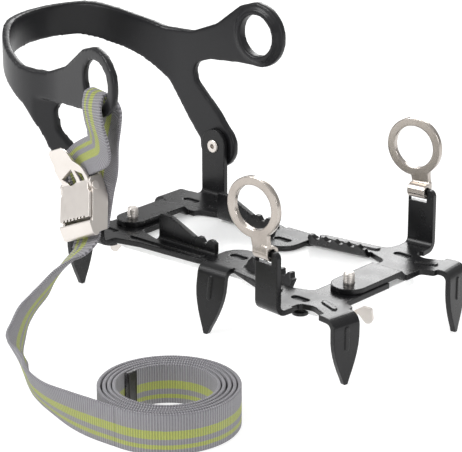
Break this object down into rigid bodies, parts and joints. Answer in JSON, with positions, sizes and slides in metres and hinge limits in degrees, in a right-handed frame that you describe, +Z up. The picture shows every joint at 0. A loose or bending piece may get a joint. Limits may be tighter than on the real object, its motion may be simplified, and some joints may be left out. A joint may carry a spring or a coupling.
{
  "type": "adjustable instep crampon",
  "caption": "Instep crampon with a two-part adjustable steel frame and down-turned spikes, a moulded heel harness, lace rings, a cam buckle and a coiled strap.",
  "frame": {"origin": "centre, seen from above, of everything but the strap, on the plane of the spike tips", "axes": "+X towards the toe, +Y away from the buckle side, +Z up out of the ground"},
  "size_m": [0.2301, 0.2134, 0.1331],
  "materials": {
    "rail_black": "satin",
    "clear_plastic": "satin",
    "clip_plastic": "matte",
    "nickel": "satin",
    "harness_plastic": "satin",
    "spring_wire": "satin",
    "webbing": "woven",
    "seal": "matte"
  },
  "bodies": {
    "near_frame": {"near_rail": "rail_black", "anti_ball_plate": "clear_plastic", "near_clips": "clip_plastic", "near_rivet": "nickel", "buckle_base": "nickel", "buckle_pin": "nickel", "buckle_spring": "spring_wire", "webbing_loop": "webbing", "webbing_tail": "webbing", "webbing_coil": "webbing", "strap_end_seal": "seal"},
    "far_frame": {"far_rail": "rail_black", "far_clips": "clip_plastic", "far_rivet": "nickel"},
    "front_screw": {"front_wing_screw": "nickel"},
    "rear_screw": {"rear_wing_screw": "nickel"},
    "harness": {"heel_harness": "harness_plastic"},
    "near_lace_ring": {"near_ring": "nickel"},
    "far_lace_ring": {"far_ring": "nickel"},
    "cam_lever": {"buckle_lever": "nickel"}
  },
  "joints": [
    {"name": "width", "type": "slide", "parent": "near_frame", "child": "far_frame", "axis": [0, 1, 0], "range_m": [-0.006, 0], "deforming": ["heel_harness"]},
    {"name": "front_screw_turn", "type": "hinge", "parent": "far_frame", "child": "front_screw", "pos_m": [0.0928, -0.0082, 0.03], "axis": [0, 0, 1], "continuous": true},
    {"name": "rear_screw_turn", "type": "hinge", "parent": "far_frame", "child": "rear_screw", "pos_m": [-0.0392, -0.0094, 0.03], "axis": [0, 0, 1], "continuous": true},
    {"name": "harness_tilt", "type": "hinge", "parent": "near_frame", "child": "harness", "pos_m": [-0.038, 0.0046, 0.0565], "axis": [0, 1, 0], "range_deg": [-30, 60], "deforming": ["webbing_loop"]},
    {"name": "near_ring_swing", "type": "hinge", "parent": "near_frame", "child": "near_lace_ring", "pos_m": [0.07988, -0.05008, 0.0572], "axis": [0.9962, -0.0872, 0], "range_deg": [-90, 90]},
    {"name": "far_ring_swing", "type": "hinge", "parent": "far_frame", "child": "far_lace_ring", "pos_m": [0.07988, 0.05928, 0.0572], "axis": [0.9962, 0.0872, 0], "range_deg": [-90, 90]},
    {"name": "lever_open", "type": "hinge", "parent": "near_frame", "child": "cam_lever", "pos_m": [-0.03104, -0.0522, 0.06109], "axis": [0.9205, 0, 0.3907], "range_deg": [-25, 0], "stiffness_Nm_per_rad": 0.01, "springref_deg": 5.73}
  ]
}
